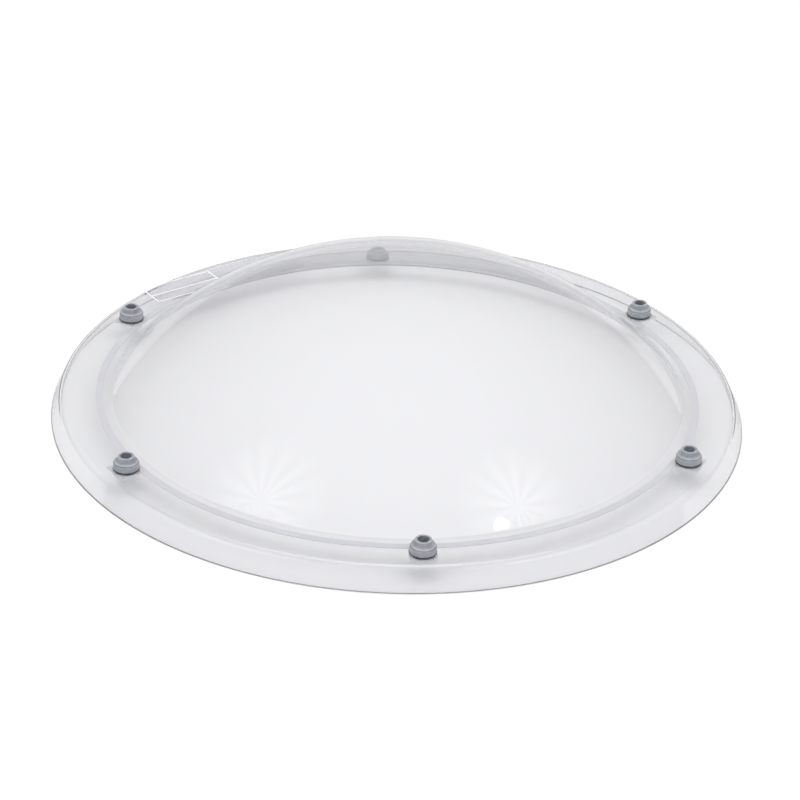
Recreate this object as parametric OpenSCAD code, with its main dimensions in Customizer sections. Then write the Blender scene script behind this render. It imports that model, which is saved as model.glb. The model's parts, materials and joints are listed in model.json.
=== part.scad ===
// Round roof skylight: a clear acrylic dome blown from one sheet, with a flat flange and a turned-down
// skirt, fixed through plastic bushes and seated on a soft strip and on pads.
// The origin is the centre of the skirt's lower rim, and the dome rises along +Z.

/* [Shell] */
// Thickness of the acrylic sheet
sheet_t = 3; // [2:0.5:5]
// Diameter at which the outer face of the dome would meet the flange
dome_foot_d = 600; // [400:1:1200]
// Rise of the dome above the flange
dome_rise = 131; // [80:1:200]
// Radius of the hollow fillet at the foot of the dome
foot_fillet_r = 3; // [2:0.5:6]
// Outer radius of the bend from the flange into the skirt
bend_r = 9; // [6:0.5:12]
// Height of the top face of the flange above the lower rim
skirt_h = 23.5; // [18:0.5:40]
// Lean of the skirt away from upright, in degrees
skirt_lean = 25; // [5:1:35]

/* [Seat] */
// Distance from the foot of the dome to the seal strip
strip_offset = 8.5; // [5:0.5:20]
// Width of the seal strip
strip_w = 7.5; // [5:0.5:12]
// Thickness of the seal strip and of the bearing pads
seat_t = 1.2; // [0.8:0.1:3]
// Radius on the lower edges of the seal strip
strip_edge_r = 0.4; // [0.2:0.1:0.7]
// Width of a bearing pad along the rim
pad_w = 27.5; // [20:0.5:36]
// Reach of a bearing pad from its screw towards the rim
pad_reach = 14.7; // [11:0.1:18]
// Gap between a bearing pad and the seal strip
pad_gap = 0.5; // [0.2:0.1:1]

/* [Fixings] */
// Number of fixings round the flange
fixing_count = 6; // [4:1:8]
// Distance from the seal strip to the screw centres
screw_offset = 9; // [8:0.5:14]
// Distance from the screw centres to the start of the bend
flange_run = 21.4; // [18.5:0.1:30]
// Diameter of the screw hole through a bush
screw_hole_d = 6.5; // [5:0.1:7]

/* [Bush] */
// Diameter of the base of a bush
bush_base_d = 26.2; // [22:0.1:32]
// Height of the base of a bush
bush_base_h = 5.8; // [4:0.1:7]
// Loss of radius over the height of the base, so that it leaves its mould
bush_draft = 0.2; // [0:0.05:0.5]
// Width of the ledge between the base and the shoulder
bush_ledge_w = 0.8; // [0.3:0.1:1.2]
// Height of the upright side of the shoulder above the ledge
shoulder_side_h = 0.7; // [0.3:0.1:1.5]
// Radius on the edge of the shoulder
shoulder_r = 1.5; // [0.8:0.1:2]
// Rise of the sloping top of the shoulder up to the neck
shoulder_rise = 0.8; // [0.2:0.1:1.2]
// Diameter of the neck at its foot
neck_foot_d = 17.4; // [15.5:0.1:19]
// Diameter of the neck at its rim
neck_d = 16.4; // [15:0.1:18.5]
// Height of a bush from its washer to its rim
bush_h = 13; // [11:0.1:18]
// Radius on the rim of the neck
neck_rim_r = 0.6; // [0.2:0.1:1.2]
// Diameter of the pocket for the screw head
pocket_d = 11.6; // [9:0.1:13]
// Depth of the pocket for the screw head
pocket_depth = 9; // [6:0.1:10]
// Diameter of the spigot through the sheet
spigot_d = 10; // [8.5:0.1:12]
// Clearance of the sheet, the pad and the washer round the spigot
spigot_clearance = 0.4; // [0.2:0.1:1]
// Height of the end of the spigot above the seating plane
spigot_lift = 0.5; // [0.2:0.1:1]

/* [Washer] */
// Diameter of a sealing washer
washer_d = 26.6; // [22:0.1:33]
// Thickness of a sealing washer
washer_t = 1.3; // [0.8:0.1:2]

/* [Hidden] */
$fn = 180;
overrun = 1;
right_angle = 90;
half_turn = 180;
full_turn = 360;
front_angle = -90;
// Steps along each curve of the shell's section
dome_steps = 48;
fillet_steps = 8;
bend_steps = 10;

foot_r = dome_foot_d / 2;
dome_r = (pow(foot_r, 2) + pow(dome_rise, 2)) / (2 * dome_rise);
flange_z = skirt_h;
under_z = flange_z - sheet_t;
seat_z = under_z - seat_t;
dome_centre = [0, flange_z + dome_rise - dome_r];

// The fillet touches the dome from outside and lies on the flange
fillet_z = flange_z + foot_fillet_r;
fillet_angle = asin((fillet_z - dome_centre.y) / (dome_r + foot_fillet_r));
fillet_centre = [(dome_r + foot_fillet_r) * cos(fillet_angle), fillet_z];

strip_inner_r = foot_r + strip_offset;
strip_outer_r = strip_inner_r + strip_w;
screw_circle_r = strip_outer_r + screw_offset;
bend_centre = [screw_circle_r + flange_run, flange_z - bend_r];

// The skirt leaves the bend along its tangent and is trimmed level at the rim
skirt_normal = [cos(skirt_lean), sin(skirt_lean)];
skirt_top = bend_centre + bend_r * skirt_normal;
rim_r = skirt_top.x + skirt_top.y * tan(skirt_lean);

bush_base_r = bush_base_d / 2;
bush_z = flange_z + washer_t;
shoulder_edge_r = bush_base_r - bush_draft - bush_ledge_w;
shoulder_inner_r = shoulder_edge_r - shoulder_r;
shoulder_z = bush_base_h + shoulder_side_h;
shoulder_top_z = shoulder_z + shoulder_r;
neck_foot_r = neck_foot_d / 2;
neck_foot_z = shoulder_top_z + shoulder_rise;
neck_r = neck_d / 2;
neck_top_z = bush_h - neck_rim_r;
spigot_hole_r = spigot_d / 2 + spigot_clearance;
spigot_len = bush_z - seat_z - spigot_lift;

// Points along an arc, without its first point where skip_start is true
function arc(centre, radius, from, to, steps, skip_start = false) = [
    for (i = [(skip_start ? 1 : 0):steps])
        let(angle = from + (to - from) * i / steps)
            centre + radius * [cos(angle), sin(angle)]
];

// The face of the shell that lies a given depth below its outer skin, from the crown to the rim
function skin(depth) = concat(
    arc(dome_centre, dome_r - depth, right_angle, fillet_angle, dome_steps),
    arc(
        fillet_centre, foot_fillet_r + depth, half_turn + fillet_angle, half_turn + right_angle, fillet_steps,
        skip_start = true
    ),
    arc(bend_centre, bend_r - depth, right_angle, skirt_lean, bend_steps),
    [[rim_r - depth / cos(skirt_lean), 0]]
);

function numbered(name) = [for (i = [1:fixing_count]) str(name, "_", i)];

// A quarter of a disc, in the corner between +X and +Y
module quarter_disc(radius) {
    intersection() {
        circle(r = radius);
        square(radius);
    }
}

// Half of the section through the shell, from the crown out to the rim and back under the sheet
module shell_section() {
    upper = skin(0);
    lower = skin(sheet_t);
    polygon(concat(upper, [for (i = [len(lower) - 1:-1:0]) lower[i]]));
}

// Places its children at a fixing, with +X pointing at the rim
module at_fixing(index, z) {
    angle = front_angle + (index - 1) * full_turn / fixing_count;
    rotate([0, 0, angle]) translate([screw_circle_r, 0, z]) children();
}

module dome_shell() {
    color([0.88, 0.91, 0.93, 0.35]) difference() {
        rotate_extrude() shell_section();
        for (i = [1:fixing_count]) at_fixing(i, under_z - overrun)
            cylinder(r = spigot_hole_r, h = sheet_t + 2 * overrun);
    }
}

module seal_strip() {
    flat_w = strip_w - 2 * strip_edge_r;
    color([0.80, 0.80, 0.83]) rotate_extrude() translate([strip_inner_r, seat_z]) {
        translate([0, strip_edge_r]) square([strip_w, seat_t - strip_edge_r]);
        translate([strip_edge_r, 0]) square([flat_w, strip_edge_r]);
        translate([strip_edge_r, strip_edge_r]) rotate(half_turn) quarter_disc(strip_edge_r);
        translate([strip_w - strip_edge_r, strip_edge_r]) rotate(-right_angle) quarter_disc(strip_edge_r);
    }
}

// Half of the solid outline of a bush, with its washer's top face at zero
module bush_outline() {
    translate([0, -spigot_len]) square([spigot_d / 2, spigot_len + bush_base_h]);
    polygon([[0, 0], [bush_base_r, 0], [bush_base_r - bush_draft, bush_base_h], [0, bush_base_h]]);
    square([shoulder_edge_r, shoulder_z]);
    translate([shoulder_inner_r, shoulder_z]) quarter_disc(shoulder_r);
    polygon([
        [0, 0], [shoulder_inner_r, 0], [shoulder_inner_r, shoulder_top_z],
        [neck_foot_r, neck_foot_z], [0, neck_foot_z]
    ]);
    polygon([[0, 0], [neck_foot_r, 0], [neck_foot_r, neck_foot_z], [neck_r, neck_top_z], [0, neck_top_z]]);
    square([neck_r - neck_rim_r, bush_h]);
    translate([neck_r - neck_rim_r, neck_top_z]) quarter_disc(neck_rim_r);
}

module fixing_bush(index) {
    color([0.56, 0.58, 0.62]) at_fixing(index, bush_z) difference() {
        rotate_extrude() bush_outline();
        translate([0, 0, -spigot_len - overrun])
            cylinder(d = screw_hole_d, h = spigot_len + bush_h + overrun);
        translate([0, 0, bush_h - pocket_depth]) cylinder(d = pocket_d, h = pocket_depth + overrun);
    }
}

module sealing_washer(index) {
    bulge_r = washer_t / 2;
    land_w = washer_d / 2 - spigot_hole_r - bulge_r;
    color([0.16, 0.16, 0.17]) at_fixing(index, flange_z) rotate_extrude() {
        translate([spigot_hole_r, 0]) square([land_w, washer_t]);
        translate([spigot_hole_r + land_w, bulge_r]) intersection() {
            circle(r = bulge_r);
            translate([0, -bulge_r]) square([bulge_r, washer_t]);
        }
    }
}

module bearing_pad(index) {
    pad_inner_r = strip_outer_r + pad_gap;
    color([0.86, 0.88, 0.90, 0.6]) at_fixing(index, seat_z) linear_extrude(height = seat_t) difference() {
        translate([-screw_offset, -pad_w / 2]) square([screw_offset + pad_reach, pad_w]);
        translate([-screw_circle_r, 0]) circle(r = pad_inner_r);
        circle(r = spigot_hole_r);
    }
}

dome_shell();
seal_strip();
for (i = [1:fixing_count]) {
    fixing_bush(i);
    sealing_washer(i);
    bearing_pad(i);
}
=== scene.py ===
"""Looks of a round roof skylight: one clear domed sheet, its fixings and its seat, on a pale floor.

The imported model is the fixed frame. Every piece is made in metres in that frame. Sizes that the
frame shows are read from it, and the rest are fields of the class that makes the piece.
"""

from __future__ import annotations

import json
import logging
import math
from dataclasses import dataclass
from enum import Enum
from typing import Any

import bmesh
import bpy
from bpy.types import Light, Material, Mesh, Node, NodeSocket, NodeTree, Object
from mathutils import Matrix, Quaternion, Vector

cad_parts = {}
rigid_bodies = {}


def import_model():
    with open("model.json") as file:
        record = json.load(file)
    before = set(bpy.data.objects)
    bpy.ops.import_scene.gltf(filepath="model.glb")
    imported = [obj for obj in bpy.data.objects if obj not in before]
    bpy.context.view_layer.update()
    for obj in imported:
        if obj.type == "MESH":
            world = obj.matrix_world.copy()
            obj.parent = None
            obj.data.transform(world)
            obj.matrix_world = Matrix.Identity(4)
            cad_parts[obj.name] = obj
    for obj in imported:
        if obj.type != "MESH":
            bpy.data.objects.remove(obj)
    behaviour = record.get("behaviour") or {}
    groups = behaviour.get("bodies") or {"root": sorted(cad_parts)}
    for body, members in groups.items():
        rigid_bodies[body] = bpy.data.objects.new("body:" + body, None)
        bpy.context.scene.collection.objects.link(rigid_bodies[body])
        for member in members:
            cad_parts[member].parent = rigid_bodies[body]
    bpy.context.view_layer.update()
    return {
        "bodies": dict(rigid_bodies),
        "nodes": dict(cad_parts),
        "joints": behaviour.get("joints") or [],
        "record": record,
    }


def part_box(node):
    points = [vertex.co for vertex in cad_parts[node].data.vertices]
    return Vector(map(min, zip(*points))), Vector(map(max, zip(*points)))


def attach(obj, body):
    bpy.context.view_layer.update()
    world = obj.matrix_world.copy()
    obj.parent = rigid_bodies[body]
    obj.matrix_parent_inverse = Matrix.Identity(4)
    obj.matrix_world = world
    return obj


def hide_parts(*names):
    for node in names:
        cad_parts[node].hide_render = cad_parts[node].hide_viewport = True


LOG = logging.getLogger("skylight")
BODY = "root"
MM = 0.001
TINY = 1e-7
MERGE_DISTANCE = 0.002 * MM
QUARTER_TURN = math.pi / 2
HALF_TURN = math.pi
FULL_TURN = 2 * math.pi
NEARLY_STRAIGHT = QUARTER_TURN * 0.99

Point2 = tuple[float, float]
Range = tuple[float, float]
Colour = tuple[float, float, float, float]
Inputs = dict[Any, Any]

# Width of the seal strip, which no box in the frame shows
STRIP_W = 7.5 * MM
# Edges that turn by more than this stay sharp
CREASE = math.radians(40)
# The range of most noise values
NOISE_SPREAD: Range = (0.3, 0.7)
UNIT: Range = (0.0, 1.0)
# Colour sockets of a Mix node
MIX_FIRST, MIX_SECOND, MIX_RESULT = 6, 7, 2


class Slot(Enum):
    """Names of the material slots of the record, which the finishes of the pieces share."""

    CLEAR_ACRYLIC = "clear_acrylic"
    SOFT_STRIP = "soft_strip"
    BUSH_PLASTIC = "bush_plastic"
    WASHER_RUBBER = "washer_rubber"
    PAD_PLASTIC = "pad_plastic"


# Outlines


def arc(
    centre: Point2, radius: float, start: float, end: float, steps: int, first: int = 0
) -> list[Point2]:
    """Points along an arc of a section.

    Args:
        centre: Centre of the arc.
        radius: Radius of the arc.
        start: Angle of the first point, in radians.
        end: Angle of the last point, in radians.
        steps: Number of chords along the whole arc.
        first: Number of leading points to leave out.

    Returns:
        The points in order, as (radius, height).
    """
    points = []
    for index in range(first, steps + 1):
        angle = start + (end - start) * index / steps
        points.append((centre[0] + radius * math.cos(angle), centre[1] + radius * math.sin(angle)))
    return points


def heading(azimuth: float, elevation: float = 0.0) -> Vector:
    """Unit vector at an angle round from +X and an angle up from level, in radians."""
    flat = math.cos(elevation)
    return Vector((flat * math.cos(azimuth), flat * math.sin(azimuth), math.sin(elevation)))


@dataclass(frozen=True)
class Corner:
    """One corner of a section, with the radius that rounds it."""

    x: float
    y: float
    radius: float = 0.0


def rounded_loop(corners: list[Corner], steps: int) -> list[Point2]:
    """Rounds the corners of a closed outline.

    Args:
        corners: The corners in order.
        steps: Number of chords on each rounded corner.

    Returns:
        The points of the rounded outline, in the same order.
    """
    points: list[Point2] = []
    count = len(corners)
    for index, corner in enumerate(corners):
        here = Vector((corner.x, corner.y))
        before, after = corners[index - 1], corners[(index + 1) % count]
        back = (Vector((before.x, before.y)) - here).normalized()
        ahead = (Vector((after.x, after.y)) - here).normalized()
        half = back.angle(ahead) / 2
        if corner.radius <= 0 or half > NEARLY_STRAIGHT:
            points.append((corner.x, corner.y))
            continue
        centre = here + (back + ahead).normalized() * (corner.radius / math.sin(half))
        reach = corner.radius / math.tan(half)
        first = here + back * reach - centre
        swing = first.angle_signed(here + ahead * reach - centre)
        for step in range(steps + 1):
            turned = first.copy()
            turned.rotate(Matrix.Rotation(-swing * step / steps, 2))
            points.append((centre.x + turned.x, centre.y + turned.y))
    return [p for i, p in enumerate(points) if math.dist(p, points[i - 1]) > TINY]


def with_holding_points(points: list[Point2], reach: float, shortest: float) -> list[Point2]:
    """Adds a point near each end of every long run, so that smooth shading keeps the run straight.

    Args:
        points: Points of a section.
        reach: Distance of the added points from the ends of a run.
        shortest: Length of the shortest run that gets them.

    Returns:
        The points with the added ones between them.
    """
    held = points[:1]
    for start, end in zip(points, points[1:]):
        length = math.dist(start, end)
        if length > shortest:
            for share in (reach / length, 1 - reach / length):
                held.append(tuple(a + (b - a) * share for a, b in zip(start, end)))
        held.append(end)
    return held


# Node trees


class NodeBench:
    """Adds nodes to one tree, sets their sockets and links them."""

    def __init__(self, tree: NodeTree) -> None:
        """Keeps the tree that the nodes go into."""
        self.tree = tree

    def add(self, kind: str, inputs: Inputs | None = None, **settings: Any) -> Node:
        """Adds one node.

        Args:
            kind: Blender's name of the node type.
            inputs: Socket name or number to a value, or to an output socket to link.
            **settings: Properties of the node itself.

        Returns:
            The new node.
        """
        node = self.tree.nodes.new(kind)
        for name, value in settings.items():
            setattr(node, name, value)
        self.fill(node, inputs or {})
        return node

    def fill(self, node: Node, inputs: Inputs) -> None:
        """Sets inputs of a node to values, or links output sockets to them."""
        for key, value in inputs.items():
            if isinstance(value, NodeSocket):
                self.tree.links.new(value, node.inputs[key])
            else:
                node.inputs[key].default_value = value

    def get(
        self, kind: str, output: str | int, inputs: Inputs | None = None, **settings: Any
    ) -> NodeSocket:
        """Adds one node and returns one of its outputs."""
        return self.add(kind, inputs, **settings).outputs[output]

    def math(self, operation: str, first: Any, second: Any = 0.0) -> NodeSocket:
        """Adds a Math node for two values or sockets and returns its output."""
        return self.get("ShaderNodeMath", "Value", {0: first, 1: second}, operation=operation)


class GeometryTree(NodeBench):
    """A geometry tree with named inputs, which is run once on an object."""

    def __init__(self, name: str) -> None:
        """Makes an empty tree with one geometry input and one geometry output."""
        super().__init__(bpy.data.node_groups.new(name, "GeometryNodeTree"))
        kind = "NodeSocketGeometry"
        for side in ("INPUT", "OUTPUT"):
            self.tree.interface.new_socket("Geometry", in_out=side, socket_type=kind)
        self.source = self.add("NodeGroupInput")
        self.sink = self.add("NodeGroupOutput")
        self.values: dict[str, Any] = {}

    @property
    def geometry(self) -> NodeSocket:
        """The geometry that comes in."""
        return self.source.outputs["Geometry"]

    def take(self, name: str, kind: str, value: Any) -> NodeSocket:
        """Adds a named input.

        Args:
            name: The input's name.
            kind: Socket type, such as Float, Int or Material.
            value: The value that the run gives to it.

        Returns:
            The socket to link from.
        """
        self.tree.interface.new_socket(name, in_out="INPUT", socket_type=f"NodeSocket{kind}")
        self.values[name] = value
        return self.source.outputs[name]

    def turn(self, segments: int) -> NodeSocket:
        """Adds the nodes that turn the incoming section about the vertical axis.

        Args:
            segments: Number of segments round the axis.

        Returns:
            The turned surface, with its seam and poles merged.
        """
        guide_r = 1.0
        inputs = {"Geometry": self.geometry, "Translation": (-guide_r, 0, 0), "Scale": (1, -1, 1)}
        moved = self.get("GeometryNodeTransform", "Geometry", inputs)
        curve = self.get("GeometryNodeMeshToCurve", "Curve", {"Mesh": moved})
        inputs = {"Resolution": self.take("Segments", "Int", segments), "Radius": guide_r}
        ring = self.get("GeometryNodeCurvePrimitiveCircle", "Curve", inputs)
        inputs = {"Curve": ring, "Profile Curve": curve}
        swept = self.get("GeometryNodeCurveToMesh", "Mesh", inputs)
        inputs = {"Geometry": swept, "Distance": MERGE_DISTANCE}
        return self.get("GeometryNodeMergeByDistance", "Geometry", inputs)

    def ring_of_copies(self, shape: NodeSocket, sizes: FrameSizes) -> NodeSocket:
        """Adds the nodes that copy a shape to every screw.

        Args:
            shape: The shape about the vertical axis, with +X towards the rim.
            sizes: Number and places of the screws.

        Returns:
            The copies, as instances.
        """
        count = self.take("Count", "Int", len(sizes.bushes))
        radius = self.take("Circle Radius", "Float", sizes.screw_circle_r)
        start = self.take("First Angle", "Float", sizes.start_angle)
        index = self.get("GeometryNodeInputIndex", "Index")
        step = self.math("DIVIDE", FULL_TURN, count)
        angle = self.math("ADD", self.math("MULTIPLY", index, step), start)
        x = self.math("MULTIPLY", radius, self.math("COSINE", angle))
        y = self.math("MULTIPLY", radius, self.math("SINE", angle))
        place = self.get("ShaderNodeCombineXYZ", "Vector", {"X": x, "Y": y})
        points = self.get("GeometryNodePoints", "Points", {"Count": count, "Position": place})
        turn = self.get("ShaderNodeCombineXYZ", "Vector", {"Z": angle})
        inputs = {"Points": points, "Instance": shape, "Rotation": turn}
        return self.get("GeometryNodeInstanceOnPoints", "Instances", inputs)

    def smooth(self, geometry: NodeSocket, crease: float = CREASE) -> NodeSocket:
        """Smooths all faces and keeps edges sharper than the crease angle sharp."""
        faces = self.get("GeometryNodeSetShadeSmooth", "Geometry", {"Geometry": geometry})
        angle = self.get("GeometryNodeInputMeshEdgeAngle", "Unsigned Angle")
        inputs = {0: angle, 1: self.take("Crease", "Float", crease)}
        soft = self.get("FunctionNodeCompare", "Result", inputs, operation="LESS_THAN")
        inputs = {"Geometry": faces, "Shade Smooth": soft}
        return self.get("GeometryNodeSetShadeSmooth", "Geometry", inputs, domain="EDGE")

    def finish(self, geometry: NodeSocket, material: Material) -> None:
        """Ends the tree in real geometry that has its material."""
        real = self.get("GeometryNodeRealizeInstances", "Geometry", {"Geometry": geometry})
        inputs = {"Geometry": real, "Material": self.take("Material", "Material", material)}
        dressed = self.get("GeometryNodeSetMaterial", "Geometry", inputs)
        self.fill(self.sink, {"Geometry": dressed})

    def run(self, piece: Object) -> None:
        """Runs the tree on an object and leaves the result as its plain mesh.

        Args:
            piece: The object whose mesh goes into the tree.
        """
        modifier = piece.modifiers.new(self.tree.name, "NODES")
        modifier.node_group = self.tree
        for item in self.tree.interface.items_tree:
            if item.in_out == "INPUT" and item.name in self.values:
                modifier[item.identifier] = self.values[item.name]
        ready = piece.evaluated_get(bpy.context.evaluated_depsgraph_get())
        mesh = bpy.data.meshes.new_from_object(ready)
        piece.modifiers.clear()
        spare = piece.data
        piece.data = mesh
        bpy.data.meshes.remove(spare)
        mesh.name = piece.name


# Pieces


def new_piece(name: str, mesh: Mesh) -> Object:
    """Links a new object at the origin for a mesh."""
    piece = bpy.data.objects.new(name, mesh)
    bpy.context.scene.collection.objects.link(piece)
    return piece


def section_piece(name: str, points: list[Point2], closed: bool) -> Object:
    """Makes an object of the edges of a section.

    Args:
        name: Name of the object.
        points: Points of the section, as (radius, height).
        closed: True if the last point joins the first.

    Returns:
        The object, with its section in the level plane.
    """
    edges = [(i, i + 1) for i in range(len(points) - 1)]
    if closed:
        edges.append((len(points) - 1, 0))
    mesh = bpy.data.meshes.new(name)
    mesh.from_pydata([(x, y, 0.0) for x, y in points], edges, [])
    return new_piece(name, mesh)


def face_outwards(piece: Object) -> None:
    """Turns the faces of a closed mesh outwards."""
    work = bmesh.new()
    work.from_mesh(piece.data)
    bmesh.ops.recalc_face_normals(work, faces=work.faces)
    if work.calc_volume(signed=True) < 0:
        bmesh.ops.reverse_faces(work, faces=work.faces)
    work.to_mesh(piece.data)
    work.free()


def hand_over(piece: Object, nodes: list[str]) -> None:
    """Rides a piece on the body, hides the nodes that it stands for and reports it.

    Args:
        piece: The finished piece.
        nodes: Names of the CAD nodes that it replaces.
    """
    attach(piece, BODY)
    if nodes:
        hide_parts(*nodes)
    triangles = sum(len(face.vertices) - 2 for face in piece.data.polygons)
    LOG.info("%s: %d triangles, replaces %d nodes", piece.name, triangles, len(nodes))


@dataclass(frozen=True)
class FrameSizes:
    """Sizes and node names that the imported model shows."""

    crown_z: float
    rim_r: float
    flange_z: float
    under_z: float
    seat_z: float
    strip_inner_r: float
    strip_outer_r: float
    screw_circle_r: float
    start_angle: float
    bush_r: float
    bush_low: float
    bush_top: float
    washer_r: float
    washer_top: float
    pad_w: float
    pad_reach: float
    bushes: list[str]
    washers: list[str]
    pads: list[str]

    @property
    def sheet_t(self) -> float:
        """Thickness of the clear sheet."""
        return self.flange_z - self.under_z

    @classmethod
    def read(cls, frame: dict[str, Any]) -> FrameSizes:
        """Reads the sizes from the boxes of the nodes.


        Returns:
            The sizes.
        """
        named = {
            kind: sorted(n for n in frame["nodes"] if n.startswith(kind))
            for kind in ("fixing_bush", "sealing_washer", "bearing_pad")
        }
        shell_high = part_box("dome_shell")[1]
        strip_low, strip_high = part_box("seal_strip")
        bush_low, bush_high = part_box(named["fixing_bush"][0])
        washer_low, washer_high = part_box(named["sealing_washer"][0])
        pad_low, pad_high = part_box(named["bearing_pad"][0])
        centre = (washer_low + washer_high) / 2
        ring_r = math.hypot(centre.x, centre.y)
        return cls(
            crown_z=shell_high.z,
            rim_r=shell_high.x,
            flange_z=washer_low.z,
            under_z=strip_high.z,
            seat_z=strip_low.z,
            strip_inner_r=strip_high.x - STRIP_W,
            strip_outer_r=strip_high.x,
            screw_circle_r=ring_r,
            start_angle=math.atan2(centre.y, centre.x),
            bush_r=(bush_high.x - bush_low.x) / 2,
            bush_low=bush_low.z,
            bush_top=bush_high.z,
            washer_r=(washer_high.x - washer_low.x) / 2,
            washer_top=washer_high.z,
            pad_w=pad_high.x - pad_low.x,
            pad_reach=-ring_r - pad_low.y,
            bushes=named["fixing_bush"],
            washers=named["sealing_washer"],
            pads=named["bearing_pad"],
        )


# Finishes


def new_material(name: str) -> tuple[Material, NodeBench, Node]:
    """Makes a material with one shader, and returns it, a bench on its tree and the shader."""
    material = bpy.data.materials.new(name)
    material.use_nodes = True
    bench = NodeBench(material.node_tree)
    material.node_tree.nodes.clear()
    shader = bench.add("ShaderNodeBsdfPrincipled")
    bench.add("ShaderNodeOutputMaterial", {"Surface": shader.outputs["BSDF"]})
    return material, bench, shader


def noise(bench: NodeBench, scale: float, detail: float) -> NodeSocket:
    """Adds noise on Object coordinates, of so many patches per metre, and returns its value."""
    place = bench.get("ShaderNodeTexCoord", "Object")
    inputs = {"Vector": place, "Scale": scale, "Detail": detail}
    return bench.get("ShaderNodeTexNoise", "Fac", inputs)


def ranged(bench: NodeBench, value: NodeSocket, source: Range, target: Range) -> NodeSocket:
    """Maps a value from one range to another, clamped, and returns the socket."""
    ends = dict(zip(("From Min", "From Max", "To Min", "To Max"), source + target))
    return bench.get("ShaderNodeMapRange", "Result", {"Value": value, **ends})


def tinted(bench: NodeBench, value: NodeSocket, dark: Colour, light: Colour) -> NodeSocket:
    """Blends two colours by a value and returns the colour socket."""
    inputs = {"Factor": value, MIX_FIRST: dark, MIX_SECOND: light}
    return bench.get("ShaderNodeMix", MIX_RESULT, inputs, data_type="RGBA")


def bumped(
    bench: NodeBench, height: NodeSocket, distance: float, strength: float = 1.0
) -> NodeSocket:
    """Makes a normal from a height pattern and returns the socket."""
    inputs = {"Height": height, "Distance": distance, "Strength": strength}
    return bench.get("ShaderNodeBump", "Normal", inputs)


@dataclass(frozen=True)
class Finish:
    """A node material round one Principled shader."""

    name: str

    def make(self) -> Material:
        """Makes the material."""
        material, bench, shader = new_material(self.name)
        self.dress(bench, shader)
        return material

    def dress(self, bench: NodeBench, shader: Node) -> None:
        """Sets the sockets of the shader, or links patterns to them."""
        raise NotImplementedError


@dataclass(frozen=True)
class ClearSheet(Finish):
    """Clear acrylic, wavy from forming and smudged from handling, veiled grey at glancing angles as
    painted shade over its reflection.
    """

    name: str = "clear_acrylic"
    colour: Colour = (0.900, 0.901, 0.914, 1.0)
    ior: float = 1.49
    wave_scale: float = 9.0
    wave_detail: float = 1.0
    wave_height: float = 0.09 * MM
    smudge_scale: float = 14.0
    smudge_detail: float = 5.0
    smudge_spread: Range = (0.56, 0.80)
    smudge_roughness: Range = (0.0, 0.035)
    # Grey of the veil at glancing angles, a painted shade over the sheet's reflection
    glancing_shade_colour: Colour = (0.66, 0.66, 0.675, 1.0)
    dull_glance: Range = (0.10, 0.45)
    dull_share: Range = (0.0, 0.8)
    veil_glance: Range = (0.10, 0.7)
    veil_share: Range = (0.0, 0.7)
    trapped: float = 0.99

    def dress(self, bench: NodeBench, shader: Node) -> None:
        """Makes the sheet clear, wavy and smudged, and adds the painted shade at glancing angles.
        """
        smudge = noise(bench, self.smudge_scale, self.smudge_detail)
        wave = noise(bench, self.wave_scale, self.wave_detail)
        face = {
            "IOR": self.ior,
            "Roughness": ranged(bench, smudge, self.smudge_spread, self.smudge_roughness),
            "Normal": bumped(bench, wave, self.wave_height),
        }
        bench.fill(shader, {"Base Color": self.colour, "Transmission Weight": 1.0, **face})
        self.veil_in_painted_shade(bench, shader, face)

    def veil_in_painted_shade(self, bench: NodeBench, shader: Node, face: dict[str, Any]) -> None:
        """Dulls the mirror of the sheet at glancing angles and veils it in grey, as painted shade
        over its reflection.

        Args:
            bench: Where the nodes go.
            shader: The clear shader, which already feeds the output.
            face: Refractive index, roughness and normal of the sheet.
        """
        mirror = bench.get("ShaderNodeFresnel", "Fac", {"IOR": self.ior})
        inside = bench.get("ShaderNodeNewGeometry", "Backfacing")
        trapped = bench.math("MULTIPLY", bench.math("GREATER_THAN", mirror, self.trapped), inside)
        dull = ranged(bench, mirror, self.dull_glance, self.dull_share)
        veil = ranged(bench, mirror, self.veil_glance, self.veil_share)
        tint = [math.sqrt(level) for level in self.colour]
        through = bench.get("ShaderNodeBsdfRefraction", "BSDF", {"Color": tint, **face})
        # A grey matt veil at glancing angles: painted shade over the sheet's reflection
        film = bench.get("ShaderNodeBsdfDiffuse", "BSDF", {"Color": self.glancing_shade_colour})
        surface = shader.outputs["BSDF"]
        sink = surface.links[0].to_socket
        for layer, share, bare in ((through, dull, trapped), (film, veil, inside)):
            share = bench.math("MULTIPLY", share, bench.math("SUBTRACT", 1.0, bare))
            surface = bench.get("ShaderNodeMixShader", "Shader", {0: share, 1: surface, 2: layer})
        bench.tree.links.new(surface, sink)


@dataclass(frozen=True)
class Grained(Finish):
    """A solid finish whose colour follows one fine grain, and its roughness and relief too."""

    dark: Colour
    light: Colour
    scale: float
    roughness: Range | float
    detail: float = 3.0
    relief: float = 0.0

    def dress(self, bench: NodeBench, shader: Node) -> None:
        """Links the grain to the shader, and sets a roughness that is even."""
        grain = noise(bench, self.scale, self.detail)
        rough = self.roughness
        if isinstance(rough, tuple):
            rough = ranged(bench, grain, NOISE_SPREAD, rough)
        colour = tinted(bench, grain, self.dark, self.light)
        bench.fill(shader, {"Base Color": colour, "Roughness": rough})
        if self.relief:
            bench.fill(shader, {"Normal": bumped(bench, grain, self.relief)})


# The sawn and scraped lower edge of the skirt, frosted white
SAWN_EDGE = Grained(
    name="sawn_acrylic_edge",
    dark=(0.92, 0.92, 0.93, 1.0),
    light=(0.97, 0.97, 0.975, 1.0),
    scale=700.0,
    roughness=0.6,
    relief=0.05 * MM,
)
# Dark matt rubber with a dusty bloom
MATT_RUBBER = Grained(
    name="washer_rubber",
    dark=(0.035, 0.035, 0.04, 1.0),
    light=(0.10, 0.10, 0.11, 1.0),
    scale=420.0,
    detail=4.0,
    roughness=(0.65, 0.85),
    relief=0.04 * MM,
)
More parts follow.
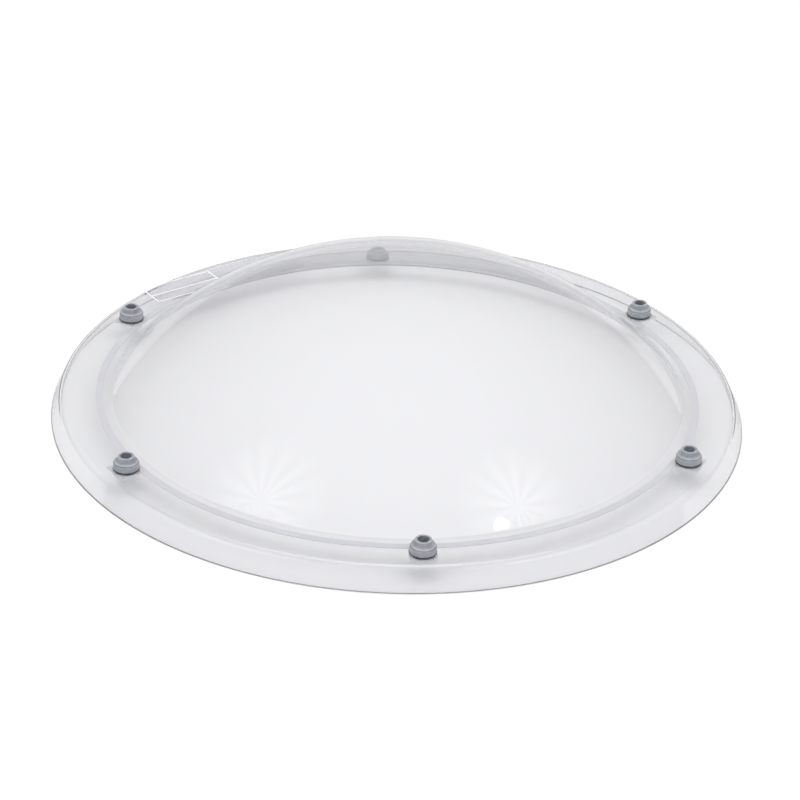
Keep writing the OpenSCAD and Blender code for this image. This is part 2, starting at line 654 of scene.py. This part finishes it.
# Pale milky sheet of the bearing pads
PAD_SHEET = Grained(
    name="pad_plastic",
    dark=(0.74, 0.74, 0.76, 1.0),
    light=(0.82, 0.82, 0.835, 1.0),
    scale=120.0,
    roughness=(0.5, 0.65),
)
# Thin white print with a faint grain
WHITE_INK = Grained(
    name="white_ink",
    dark=(0.88, 0.88, 0.89, 1.0),
    light=(0.95, 0.95, 0.95, 1.0),
    scale=900.0,
    roughness=(0.45, 0.6),
)


@dataclass(frozen=True)
class MouldedPlastic(Finish):
    """Satin grey moulded plastic, pale on its edges as a painted highlight and dark in its corners
    as painted shade.
    """

    name: str = "bush_plastic"
    # Dark is the painted shade of the corners and hollows, light the painted highlight of the edges
    dark: Colour = (0.09, 0.095, 0.115, 1.0)
    light: Colour = (0.57, 0.59, 0.645, 1.0)
    edge_light_and_shade_spread: Range = (0.47, 0.535)
    mottle_share: float = 0.2
    mottle_scale: float = 160.0
    mottle_detail: float = 4.0
    roughness: Range = (0.36, 0.50)
    skin_scale: float = 2600.0
    skin_detail: float = 2.0
    skin_height: float = 0.03 * MM

    def dress(self, bench: NodeBench, shader: Node) -> None:
        """Links the painted edge highlights and corner shade, the mottle and the moulded skin to
        the shader.
        """
        patches = noise(bench, self.mottle_scale, self.mottle_detail)
        mottle = ranged(bench, patches, NOISE_SPREAD, UNIT)
        skin = noise(bench, self.skin_scale, self.skin_detail)
        # Painted light: convex edges take the light colour as a painted highlight, concave corners
        # the dark colour as painted shade
        edge = bench.get("ShaderNodeNewGeometry", "Pointiness")
        painted_edge_light_and_shade = ranged(bench, edge, self.edge_light_and_shade_spread, (0.0, 1.0 - self.mottle_share))
        share = bench.math("ADD", painted_edge_light_and_shade, bench.math("MULTIPLY", mottle, self.mottle_share))
        inputs = {
            "Base Color": tinted(bench, share, self.dark, self.light),
            "Roughness": ranged(bench, mottle, UNIT, self.roughness),
            "Normal": bumped(bench, skin, self.skin_height),
        }
        bench.fill(shader, inputs)


@dataclass(frozen=True)
class FoamStrip(Finish):
    """Pale closed-cell foam, matt, with fine open cells on its faces."""

    name: str = "soft_strip"
    dark: Colour = (0.70, 0.70, 0.725, 1.0)
    light: Colour = (0.84, 0.84, 0.865, 1.0)
    patch_scale: float = 37.5
    patch_detail: float = 3.0
    roughness: Range = (0.8, 0.95)
    cell_scale: float = 1500.0
    cell_height: float = 0.12 * MM
    cell_strength: float = 0.6

    def dress(self, bench: NodeBench, shader: Node) -> None:
        """Links the patches and the cells to the shader."""
        place = bench.get("ShaderNodeTexCoord", "Object")
        inputs = {"Vector": place, "Scale": self.cell_scale}
        cells = bench.get("ShaderNodeTexVoronoi", "Distance", inputs)
        patches = noise(bench, self.patch_scale, self.patch_detail)
        inputs = {
            "Base Color": tinted(bench, patches, self.dark, self.light),
            "Roughness": ranged(bench, patches, NOISE_SPREAD, self.roughness),
            "Normal": bumped(bench, cells, self.cell_height, self.cell_strength),
        }
        bench.fill(shader, inputs)


@dataclass(frozen=True)
class ClearFilm(Finish):
    """Clear sticky film with a slight orange peel."""

    name: str = "clear_film"
    colour: Colour = (0.94, 0.94, 0.965, 1.0)
    clarity: float = 0.94
    ior: float = 1.48
    peel_scale: float = 240.0
    peel_detail: float = 2.0
    peel_height: float = 0.02 * MM
    roughness: Range = (0.04, 0.16)

    def dress(self, bench: NodeBench, shader: Node) -> None:
        """Makes the film clear, and links the peel to the shader."""
        peel = noise(bench, self.peel_scale, self.peel_detail)
        inputs = {
            "Base Color": self.colour,
            "Transmission Weight": self.clarity,
            "IOR": self.ior,
            "Roughness": ranged(bench, peel, NOISE_SPREAD, self.roughness),
            "Normal": bumped(bench, peel, self.peel_height),
        }
        bench.fill(shader, inputs)


# Sub-assemblies


@dataclass
class DomeShell:
    """The clear sheet: spherical dome, foot fillet, flat flange, bend and flared skirt."""

    sizes: FrameSizes
    foot_r: float = 300 * MM
    fillet_r: float = 3 * MM
    bend_r: float = 9 * MM
    lean: float = math.radians(25)
    hole_r: float = 5.4 * MM
    scrape_h: float = 0.8 * MM
    scrape_w: float = 0.6 * MM
    sawn_share: float = 0.75
    contact_gap: float = 0.02 * MM
    segments: int = 384
    dome_steps: int = 76
    fillet_steps: int = 12
    bend_steps: int = 14
    hole_segments: int = 48
    drill_ratio: float = 3.0
    crease: float = math.radians(32)
    hold: float = 0.6 * MM
    long_run: float = 8 * MM

    def skin(self, depth: float) -> list[Point2]:
        """Face of the sheet a given depth below its outer skin.

        Args:
            depth: Depth below the outer skin.

        Returns:
            Points from the crown to the rim.
        """
        s = self.sizes
        rise = s.crown_z - s.flange_z
        dome_r = (self.foot_r**2 + rise**2) / (2 * rise)
        dome = (0.0, s.crown_z - dome_r)
        reach = dome_r + self.fillet_r
        fillet_z = s.flange_z + self.fillet_r
        meet = math.asin((fillet_z - dome[1]) / reach)
        fillet = (reach * math.cos(meet), fillet_z)
        bend = (self.bend_centre_r(), s.flange_z - self.bend_r)
        points = arc(dome, dome_r - depth, QUARTER_TURN, meet, self.dome_steps)
        points[0] = (0.0, points[0][1])
        start, end = HALF_TURN + meet, HALF_TURN + QUARTER_TURN
        points += arc(fillet, self.fillet_r + depth, start, end, self.fillet_steps, 1)
        points += arc(bend, self.bend_r - depth, QUARTER_TURN, self.lean, self.bend_steps)
        points.append((s.rim_r - depth / math.cos(self.lean), 0.0))
        return points

    def bend_centre_r(self) -> float:
        """Radius at which the flange starts to bend into the skirt."""
        top_z = self.sizes.flange_z - self.bend_r + self.bend_r * math.sin(self.lean)
        return self.sizes.rim_r - top_z * math.tan(self.lean) - self.bend_r * math.cos(self.lean)

    def drape(self, flat: Vector, lift: float) -> Vector:
        """Lays a point of a flat film on the flange and round the bend.

        Args:
            flat: Level place of the point, as if the flange went on past the bend.
            lift: Distance of the point from the sheet.

        Returns:
            The point above the sheet, at the same distance along it.
        """
        past = max(0.0, flat.length - self.bend_centre_r())
        tilt = min(past / self.bend_r, QUARTER_TURN - self.lean)
        straight = past - self.bend_r * tilt
        reach = flat.length - past + self.bend_r * math.sin(tilt) + straight * math.sin(self.lean)
        drop = self.bend_r * (1 - math.cos(tilt)) + straight * math.cos(self.lean)
        level = flat.normalized() * (reach + lift * math.sin(tilt))
        top_z = self.sizes.flange_z - self.contact_gap
        return Vector((level.x, level.y, top_z - drop + lift * math.cos(tilt)))

    def outline(self) -> list[Point2]:
        """Open section of the sheet, down its upper face and back up its lower one."""
        upper = self.skin(self.contact_gap)
        rim_r = upper.pop()[0]
        upper.append((rim_r - self.scrape_h * math.tan(self.lean), self.scrape_h))
        scraped = [(rim_r - self.scrape_w, 0.0)]
        lower = self.skin(self.sizes.sheet_t - self.contact_gap)[::-1]
        faces = [with_holding_points(face, self.hold, self.long_run) for face in (upper, lower)]
        return faces[0] + scraped + faces[1]

    def drilled(self, tree: GeometryTree, sheet: NodeSocket) -> NodeSocket:
        """Adds the nodes that drill the fixing holes.

        Args:
            tree: The tree to add to.
            sheet: The turned sheet.

        Returns:
            The sheet with its holes.
        """
        s = self.sizes
        inputs = {
            "Vertices": self.hole_segments,
            "Radius": tree.take("Hole Radius", "Float", self.hole_r),
            "Depth": tree.take("Drill Length", "Float", self.drill_ratio * s.sheet_t),
        }
        drill = tree.get("GeometryNodeMeshCylinder", "Mesh", inputs)
        inputs = {"Geometry": drill, "Translation": (0, 0, (s.flange_z + s.under_z) / 2)}
        lifted = tree.get("GeometryNodeTransform", "Geometry", inputs)
        inputs = {"Geometry": tree.ring_of_copies(lifted, s)}
        drills = tree.get("GeometryNodeRealizeInstances", "Geometry", inputs)
        inputs = {"Mesh 1": sheet, "Mesh 2": drills}
        return tree.get("GeometryNodeMeshBoolean", "Mesh", inputs, operation="DIFFERENCE")

    def build(self, clear: Material, sawn: Material) -> None:
        """Builds the sheet with its fixing holes.

        Args:
            clear: Finish of the sheet.
            sawn: Finish of the lower rim.
        """
        piece = section_piece("clear_dome_shell", self.outline(), closed=False)
        tree = GeometryTree("turned_and_drilled_sheet")
        sheet = self.drilled(tree, tree.turn(self.segments))
        tree.finish(tree.smooth(sheet, self.crease), clear)
        tree.run(piece)
        face_outwards(piece)
        self.dress_rim(piece, sawn)
        hand_over(piece, ["dome_shell"])

    def dress_rim(self, piece: Object, sawn: Material) -> None:
        """Gives the lower edge of the skirt its sawn finish.

        Args:
            piece: The turned sheet.
            sawn: Finish of the lower edge.
        """
        piece.data.materials.append(sawn)
        sawn_index = len(piece.data.materials) - 1
        inner_r = self.sizes.rim_r - self.sizes.sheet_t
        for face in piece.data.polygons:
            low = face.center.z < self.scrape_h * self.sawn_share
            if low and math.hypot(face.center.x, face.center.y) > inner_r:
                face.material_index = sawn_index


@dataclass
class TurnedFixings:
    """Pieces turned about each screw axis: the stepped bushes and the washers under them."""

    sizes: FrameSizes
    segments: int = 96
    corner_steps: int = 6
    hole_r: float = 3.25 * MM
    spigot_r: float = 5 * MM
    clearance: float = 0.4 * MM
    bulge_share: float = 0.49
    base_h: float = 5.8 * MM
    base_draft: float = 0.2 * MM
    base_edge: float = 0.4 * MM
    ledge_w: float = 0.8 * MM
    shoulder_side_h: float = 0.7 * MM
    shoulder_radius: float = 1.5 * MM
    shoulder_rise: float = 0.8 * MM
    neck_foot_r: float = 8.7 * MM
    neck_r: float = 8.2 * MM
    neck_rim_radius: float = 0.6 * MM
    pocket_r: float = 5.8 * MM
    pocket_depth: float = 9 * MM
    edge: float = 0.25 * MM
    hold: float = 0.12 * MM
    long_run: float = 0.6 * MM

    def bush_section(self) -> list[Point2]:
        """Rounded section of a bush, as a closed outline."""
        s = self.sizes
        base_z = s.washer_top
        ledge_z = base_z + self.base_h
        shoulder_r = s.bush_r - self.base_draft - self.ledge_w
        shoulder_z = ledge_z + self.shoulder_side_h + self.shoulder_radius
        floor_z = s.bush_top - self.pocket_depth
        corners = [
            Corner(self.hole_r, s.bush_low, self.edge),
            Corner(self.spigot_r, s.bush_low, self.edge),
            Corner(self.spigot_r, base_z),
            Corner(s.bush_r, base_z, self.edge),
            Corner(s.bush_r - self.base_draft, ledge_z, self.base_edge),
            Corner(shoulder_r, ledge_z),
            Corner(shoulder_r, shoulder_z, self.shoulder_radius),
            Corner(shoulder_r - self.shoulder_radius, shoulder_z),
            Corner(self.neck_foot_r, shoulder_z + self.shoulder_rise, self.edge),
            Corner(self.neck_r, s.bush_top, self.neck_rim_radius),
            Corner(self.pocket_r, s.bush_top, self.edge),
            Corner(self.pocket_r, floor_z, self.edge),
            Corner(self.hole_r, floor_z, self.edge),
        ]
        rounded = rounded_loop(corners, self.corner_steps)
        return with_holding_points(rounded, self.hold, self.long_run)

    def washer_section(self) -> list[Point2]:
        """Section of a washer with a bulging outer edge, as a closed outline."""
        s = self.sizes
        bulge = (s.washer_top - s.flange_z) * self.bulge_share
        hole = self.spigot_r + self.clearance
        corners = [
            Corner(hole, s.flange_z),
            Corner(s.washer_r, s.flange_z, bulge),
            Corner(s.washer_r, s.washer_top, bulge),
            Corner(hole, s.washer_top),
        ]
        return rounded_loop(corners, self.corner_steps)

    def build(self, name: str, section: list[Point2], material: Material) -> Object:
        """Turns one section and copies it to every screw.

        Args:
            name: Name of the piece.
            section: Closed section about the screw axis.
            material: Finish of the piece.

        Returns:
            The copies as one piece.
        """
        piece = section_piece(name, section, closed=True)
        tree = GeometryTree(f"{name}_tree")
        turned = tree.smooth(tree.turn(self.segments))
        tree.finish(tree.ring_of_copies(turned, self.sizes), material)
        tree.run(piece)
        face_outwards(piece)
        return piece


@dataclass
class SealStrip:
    """The foam ring under the flange, just outside the dome."""

    sizes: FrameSizes
    edge_radius: float = 0.4 * MM
    top_radius: float = 0.1 * MM
    segments: int = 288
    corner_steps: int = 5

    def build(self, foam: Material) -> None:
        """Builds the ring with its finish."""
        s = self.sizes
        corners = [
            Corner(s.strip_inner_r, s.seat_z, self.edge_radius),
            Corner(s.strip_outer_r, s.seat_z, self.edge_radius),
            Corner(s.strip_outer_r, s.under_z, self.top_radius),
            Corner(s.strip_inner_r, s.under_z, self.top_radius),
        ]
        section = rounded_loop(corners, self.corner_steps)
        piece = section_piece("seal_strip_ring", section, closed=True)
        tree = GeometryTree("turned_strip")
        tree.finish(tree.smooth(tree.turn(self.segments)), foam)
        tree.run(piece)
        face_outwards(piece)
        hand_over(piece, ["seal_strip"])


@dataclass
class BearingPads:
    """The pale pads under the flange, one at each screw."""

    sizes: FrameSizes
    hole_r: float = 5.4 * MM
    gap: float = 0.5 * MM
    arc_steps: int = 12
    hole_segments: int = 40
    edge: float = 0.15 * MM
    edge_segments: int = 2

    def outline(self) -> list[Point2]:
        """Outline of a pad about its screw, with the strip's arc on its inner side."""
        s = self.sizes
        inner_r = s.strip_outer_r + self.gap
        half = s.pad_w / 2
        span = math.asin(half / inner_r)
        curve = arc((-s.screw_circle_r, 0.0), inner_r, span, -span, self.arc_steps)
        return curve + [(s.pad_reach, -half), (s.pad_reach, half)]

    def build(self, sheet: Material) -> None:
        """Builds the pads as one piece.

        Args:
            sheet: Finish of the pads.
        """
        s = self.sizes
        work = bmesh.new()
        hole = arc((0.0, 0.0), self.hole_r, 0.0, FULL_TURN, self.hole_segments, 1)
        edges = []
        for loop in (self.outline(), hole):
            ring = [work.verts.new((x, y, s.seat_z)) for x, y in loop]
            edges += [work.edges.new((ring[i - 1], ring[i])) for i in range(len(ring))]
        filled = bmesh.ops.triangle_fill(work, use_beauty=True, edges=edges)
        faces = [item for item in filled["geom"] if isinstance(item, bmesh.types.BMFace)]
        raised = bmesh.ops.extrude_face_region(work, geom=faces, use_keep_orig=True)
        verts = [item for item in raised["geom"] if isinstance(item, bmesh.types.BMVert)]
        bmesh.ops.translate(work, verts=verts, vec=(0, 0, s.under_z - s.seat_z))
        bmesh.ops.recalc_face_normals(work, faces=work.faces)
        mesh = bpy.data.meshes.new("bearing_pads")
        work.to_mesh(mesh)
        work.free()
        piece = new_piece("bearing_pads", mesh)
        bevel = piece.modifiers.new("worn_edges", "BEVEL")
        bevel.width = self.edge
        bevel.segments = self.edge_segments
        bevel.limit_method = "ANGLE"
        tree = GeometryTree("ring_of_pads")
        tree.finish(tree.ring_of_copies(tree.geometry, s), sheet)
        tree.run(piece)
        hand_over(piece, s.pads)


@dataclass(frozen=True)
class Patch:
    """A rectangle on the film, by its distances from the film's left end and outer edge."""

    left: float
    right: float
    outer: float
    inner: float


@dataclass
class FilmLabel:
    """A blank clear film on the flange and its bend, with a plain white frame at one end."""

    shell: DomeShell
    width: float = 39.5 * MM
    length: float = 196 * MM
    centre_r: float = 321.5 * MM
    centre_angle: float = math.radians(123.8)
    direction: float = math.radians(31.4)
    film_t: float = 0.08 * MM
    ink_t: float = 0.04 * MM
    gap: float = 0.02 * MM
    margin: float = 0.5 * MM
    frame_length: float = 89 * MM
    divider: float = 21.8 * MM
    line_w: float = 1.9 * MM
    along_step: float = 3 * MM
    across_step: float = 1 * MM

    def place(self, along: float, across: float, lift: float) -> Vector:
        """Point on the film.

        Args:
            along: Distance from the left end.
            across: Distance from the outer edge, inwards.
            lift: Distance from the sheet.

        Returns:
            The point, laid on the sheet.
        """
        middle = heading(self.centre_angle).xy * self.centre_r
        forward = heading(self.direction).xy
        inward = Vector((forward.y, -forward.x))
        flat = middle + forward * (along - self.length / 2) + inward * (across - self.width / 2)
        return self.shell.drape(flat, lift)

    def frame_patches(self) -> list[Patch]:
        """The lines of the frame and its divider, which meet without lying on each other."""
        left, right = self.margin, self.frame_length
        outer, inner = self.margin, self.width - self.margin
        w = self.line_w
        levels = (outer, self.divider - w / 2, inner - w)
        lines = [Patch(left, right, level, level + w) for level in levels]
        for upper, lower in zip(levels, levels[1:]):
            lines.append(Patch(left, left + w, upper + w, lower))
            lines.append(Patch(right - w, right, upper + w, lower))
        return lines

    def build(self, film: Material, ink: Material) -> None:
        """Builds the film and its printed frame.

        Args:
            film: Finish of the film.
            ink: Finish of the print.
        """
        whole = [Patch(0.0, self.length, 0.0, self.width)]
        on_film = 2 * self.gap + self.film_t
        pieces = [
            self.build_sheet("film_label", whole, self.gap, self.film_t, film),
            self.build_sheet("label_frame", self.frame_patches(), on_film, self.ink_t, ink),
        ]
        for piece in pieces:
            hand_over(piece, [])

    def build_sheet(
        self, name: str, patches: list[Patch], lift: float, thickness: float, finish: Material
    ) -> Object:
        """Builds thin closed sheets draped on the shell.

        Args:
            name: Name of the piece.
            patches: The rectangles that it is made of.
            lift: Distance of its lower face from the shell.
            thickness: Its thickness.
            finish: Its finish.

        Returns:
            The finished piece.
        """
        verts, faces = [], []
        for patch in patches:
            columns = math.ceil((patch.right - patch.left) / self.along_step)
            rows = math.ceil((patch.inner - patch.outer) / self.across_step)
            start, stride = len(verts), rows + 1
            for column in range(columns + 1):
                along = patch.left + (patch.right - patch.left) * column / columns
                for row in range(stride):
                    across = patch.outer + (patch.inner - patch.outer) * row / rows
                    verts.append(self.place(along, across, lift))
            for column in range(columns):
                for row in range(rows):
                    first = start + column * stride + row
                    faces.append((first, first + 1, first + stride + 1, first + stride))
        mesh = bpy.data.meshes.new(name)
        mesh.from_pydata(verts, [], faces)
        piece = new_piece(name, mesh)
        solid = piece.modifiers.new("thickness", "SOLIDIFY")
        solid.thickness = thickness
        solid.offset = 1.0
        tree = GeometryTree(f"{name}_tree")
        tree.finish(tree.smooth(tree.geometry), finish)
        tree.run(piece)
        face_outwards(piece)
        return piece


# Stage


@dataclass(frozen=True)
class Lamp:
    """A round studio lamp, aimed at the object, with ribs if it is an umbrella."""

    name: str
    azimuth: float
    elevation: float
    distance: float
    diameter: float
    radiance: float
    ribs: int = 0
    rib_power: float = 1.5
    base_glow: float = 0.6
    fade_start: float = 0.06
    half_width: float = 0.5

    def place(self) -> None:
        """Adds the lamp to the scene."""
        data = bpy.data.lights.new(self.name, "AREA")
        data.shape = "DISK"
        data.size = self.diameter
        area = math.pi * (self.diameter / 2) ** 2
        data.energy = self.radiance * math.pi * area
        if self.ribs:
            self.fold(data)
        lamp = bpy.data.objects.new(self.name, data)
        towards = heading(math.radians(self.azimuth), math.radians(self.elevation))
        lamp.location = towards * self.distance
        lamp.rotation_mode = "QUATERNION"
        lamp.rotation_quaternion = towards.to_track_quat("Z", "Y")
        bpy.context.scene.collection.objects.link(lamp)

    def fold(self, data: Light) -> None:
        """Dims a lamp between the ribs of its umbrella and towards its edge."""
        data.use_nodes = True
        bench = NodeBench(data.node_tree)
        place = bench.get("ShaderNodeNewGeometry", "Parametric")
        parts = bench.add("ShaderNodeSeparateXYZ", {"Vector": place}).outputs
        across, up = (bench.math("SUBTRACT", parts[axis], self.half_width) for axis in "XY")
        turn = bench.math("MULTIPLY", bench.math("ARCTAN2", up, across), self.ribs / 2)
        rib = bench.math("ABSOLUTE", bench.math("SINE", turn))
        glow = bench.math("ADD", bench.math("POWER", rib, self.rib_power), self.base_glow)
        squares = [bench.math("POWER", side, 2.0) for side in (across, up)]
        away = bench.math("SQRT", bench.math("ADD", *squares))
        fade = ranged(bench, away, (self.fade_start, self.half_width), UNIT[::-1])
        strength = bench.math("MULTIPLY", fade, glow)
        bench.fill(data.node_tree.nodes["Emission"], {"Strength": strength})


@dataclass(frozen=True)
class Stage:
    """Pale floor with painted shade further out, soft studio light and the camera."""

    floor_r: float = 30.0
    floor_drop: float = 0.1 * MM
    floor_segments: int = 128
    floor_colour: Colour = (0.95, 0.95, 0.95, 1.0)
    far_painted_shade_colour: Colour = (0.72, 0.72, 0.73, 1.0)
    floor_white_r: float = 1.3
    floor_grey_r: float = 2.2
    camera_distance: float = 2.7578
    camera_azimuth: float = math.radians(-5.1)
    camera_elevation: float = math.radians(29.0524)
    camera_roll: float = math.radians(1.9252)
    camera_aim: tuple[float, float, float] = (0.0030, 0.00287, 0.00565)
    lens: float = 117.45
    sky: tuple[Range, ...] = (
        (0.0, 0.48), (0.18, 0.48), (0.34, 0.58), (0.55, 0.76), (0.8, 1.18), (1.0, 1.58)
    )
    # Name, azimuth, elevation, distance, diameter, radiance and ribs
    lamps: tuple[Lamp, ...] = (
        Lamp("round_lamp", -44.5, 48.3, 20.0, 1.75, 3.5),
        Lamp("left_umbrella", -160.0, 47.5, 25.0, 19.0, 0.75, 14),
        Lamp("right_umbrella", -32.0, 50.0, 25.0, 17.0, 0.85, 12),
    )

    def build(self) -> None:
        """Builds the floor, the light and the camera."""
        self.build_floor()
        self.build_sky()
        for lamp in self.lamps:
            lamp.place()
        self.build_camera()
        bpy.context.scene.view_settings.view_transform = "Standard"
        bpy.context.scene.cycles.blur_glossy = 0.0

    def build_floor(self) -> None:
        """Lays a wide pale floor just under the rim, white near the middle and greyer further out
        as a painted falloff of light.
        """
        mesh = bpy.data.meshes.new("floor")
        loop = arc((0.0, 0.0), self.floor_r, 0.0, FULL_TURN, self.floor_segments, 1)
        mesh.from_pydata([(x, y, -self.floor_drop) for x, y in loop], [], [tuple(range(len(loop)))])
        material, bench, shader = new_material("pale_floor")
        place = bench.get("ShaderNodeTexCoord", "Object")
        away = bench.get("ShaderNodeVectorMath", "Value", {0: place}, operation="LENGTH")
        # Painted shade: the floor turns grey away from the middle, as if the light fell off there
        share = ranged(bench, away, (self.floor_white_r, self.floor_grey_r), UNIT)
        shade = tinted(bench, share, self.floor_colour, self.far_painted_shade_colour)
        bench.fill(shader, {"Base Color": shade, "Roughness": 1.0, "Specular IOR Level": 0.0})
        mesh.materials.append(material)
        new_piece("floor", mesh)

    def build_sky(self) -> None:
        """Makes the soft light of the studio, brightest overhead and dim near the horizon."""
        world = bpy.data.worlds.new("studio")
        world.use_nodes = True
        bpy.context.scene.world = world
        bench = NodeBench(world.node_tree)
        world.node_tree.nodes.clear()
        place = bench.get("ShaderNodeTexCoord", "Generated")
        upward = bench.get("ShaderNodeSeparateXYZ", "Z", {"Vector": place})
        ramp = bench.add("ShaderNodeValToRGB", {"Fac": upward})
        stops = ramp.color_ramp.elements
        while len(stops) < len(self.sky):
            stops.new(1.0)
        for stop, (height, level) in zip(stops, self.sky):
            stop.position = height
            stop.color = (level, level, level, 1.0)
        light = bench.get("ShaderNodeBackground", "Background", {"Color": ramp.outputs["Color"]})
        bench.add("ShaderNodeOutputWorld", {"Surface": light})

    def build_camera(self) -> None:
        """Places the camera."""
        data = bpy.data.cameras.new("camera")
        data.lens = self.lens
        camera = bpy.data.objects.new("camera", data)
        away = heading(self.camera_azimuth - QUARTER_TURN, self.camera_elevation)
        camera.location = self.camera_distance * away
        aim = Vector(self.camera_aim) - camera.location
        camera.rotation_mode = "QUATERNION"
        roll = Quaternion((0, 0, 1), self.camera_roll)
        camera.rotation_quaternion = aim.to_track_quat("-Z", "Y") @ roll
        bpy.context.scene.collection.objects.link(camera)
        bpy.context.scene.camera = camera


def main() -> None:
    """Builds the skylight around the frame."""
    logging.basicConfig(level=logging.INFO, format="%(name)s %(message)s")
    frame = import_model()
    Stage().build()
    sizes = FrameSizes.read(frame)
    shell = DomeShell(sizes)
    shell.build(ClearSheet().make(), SAWN_EDGE.make())
    fixings = TurnedFixings(sizes)
    bushes = fixings.build("fixing_bushes", fixings.bush_section(), MouldedPlastic().make())
    hand_over(bushes, sizes.bushes)
    washers = fixings.build("sealing_washers", fixings.washer_section(), MATT_RUBBER.make())
    hand_over(washers, sizes.washers)
    SealStrip(sizes).build(FoamStrip().make())
    BearingPads(sizes).build(PAD_SHEET.make())
    FilmLabel(shell).build(ClearFilm().make(), WHITE_INK.make())


if __name__ == "__main__":
    main()
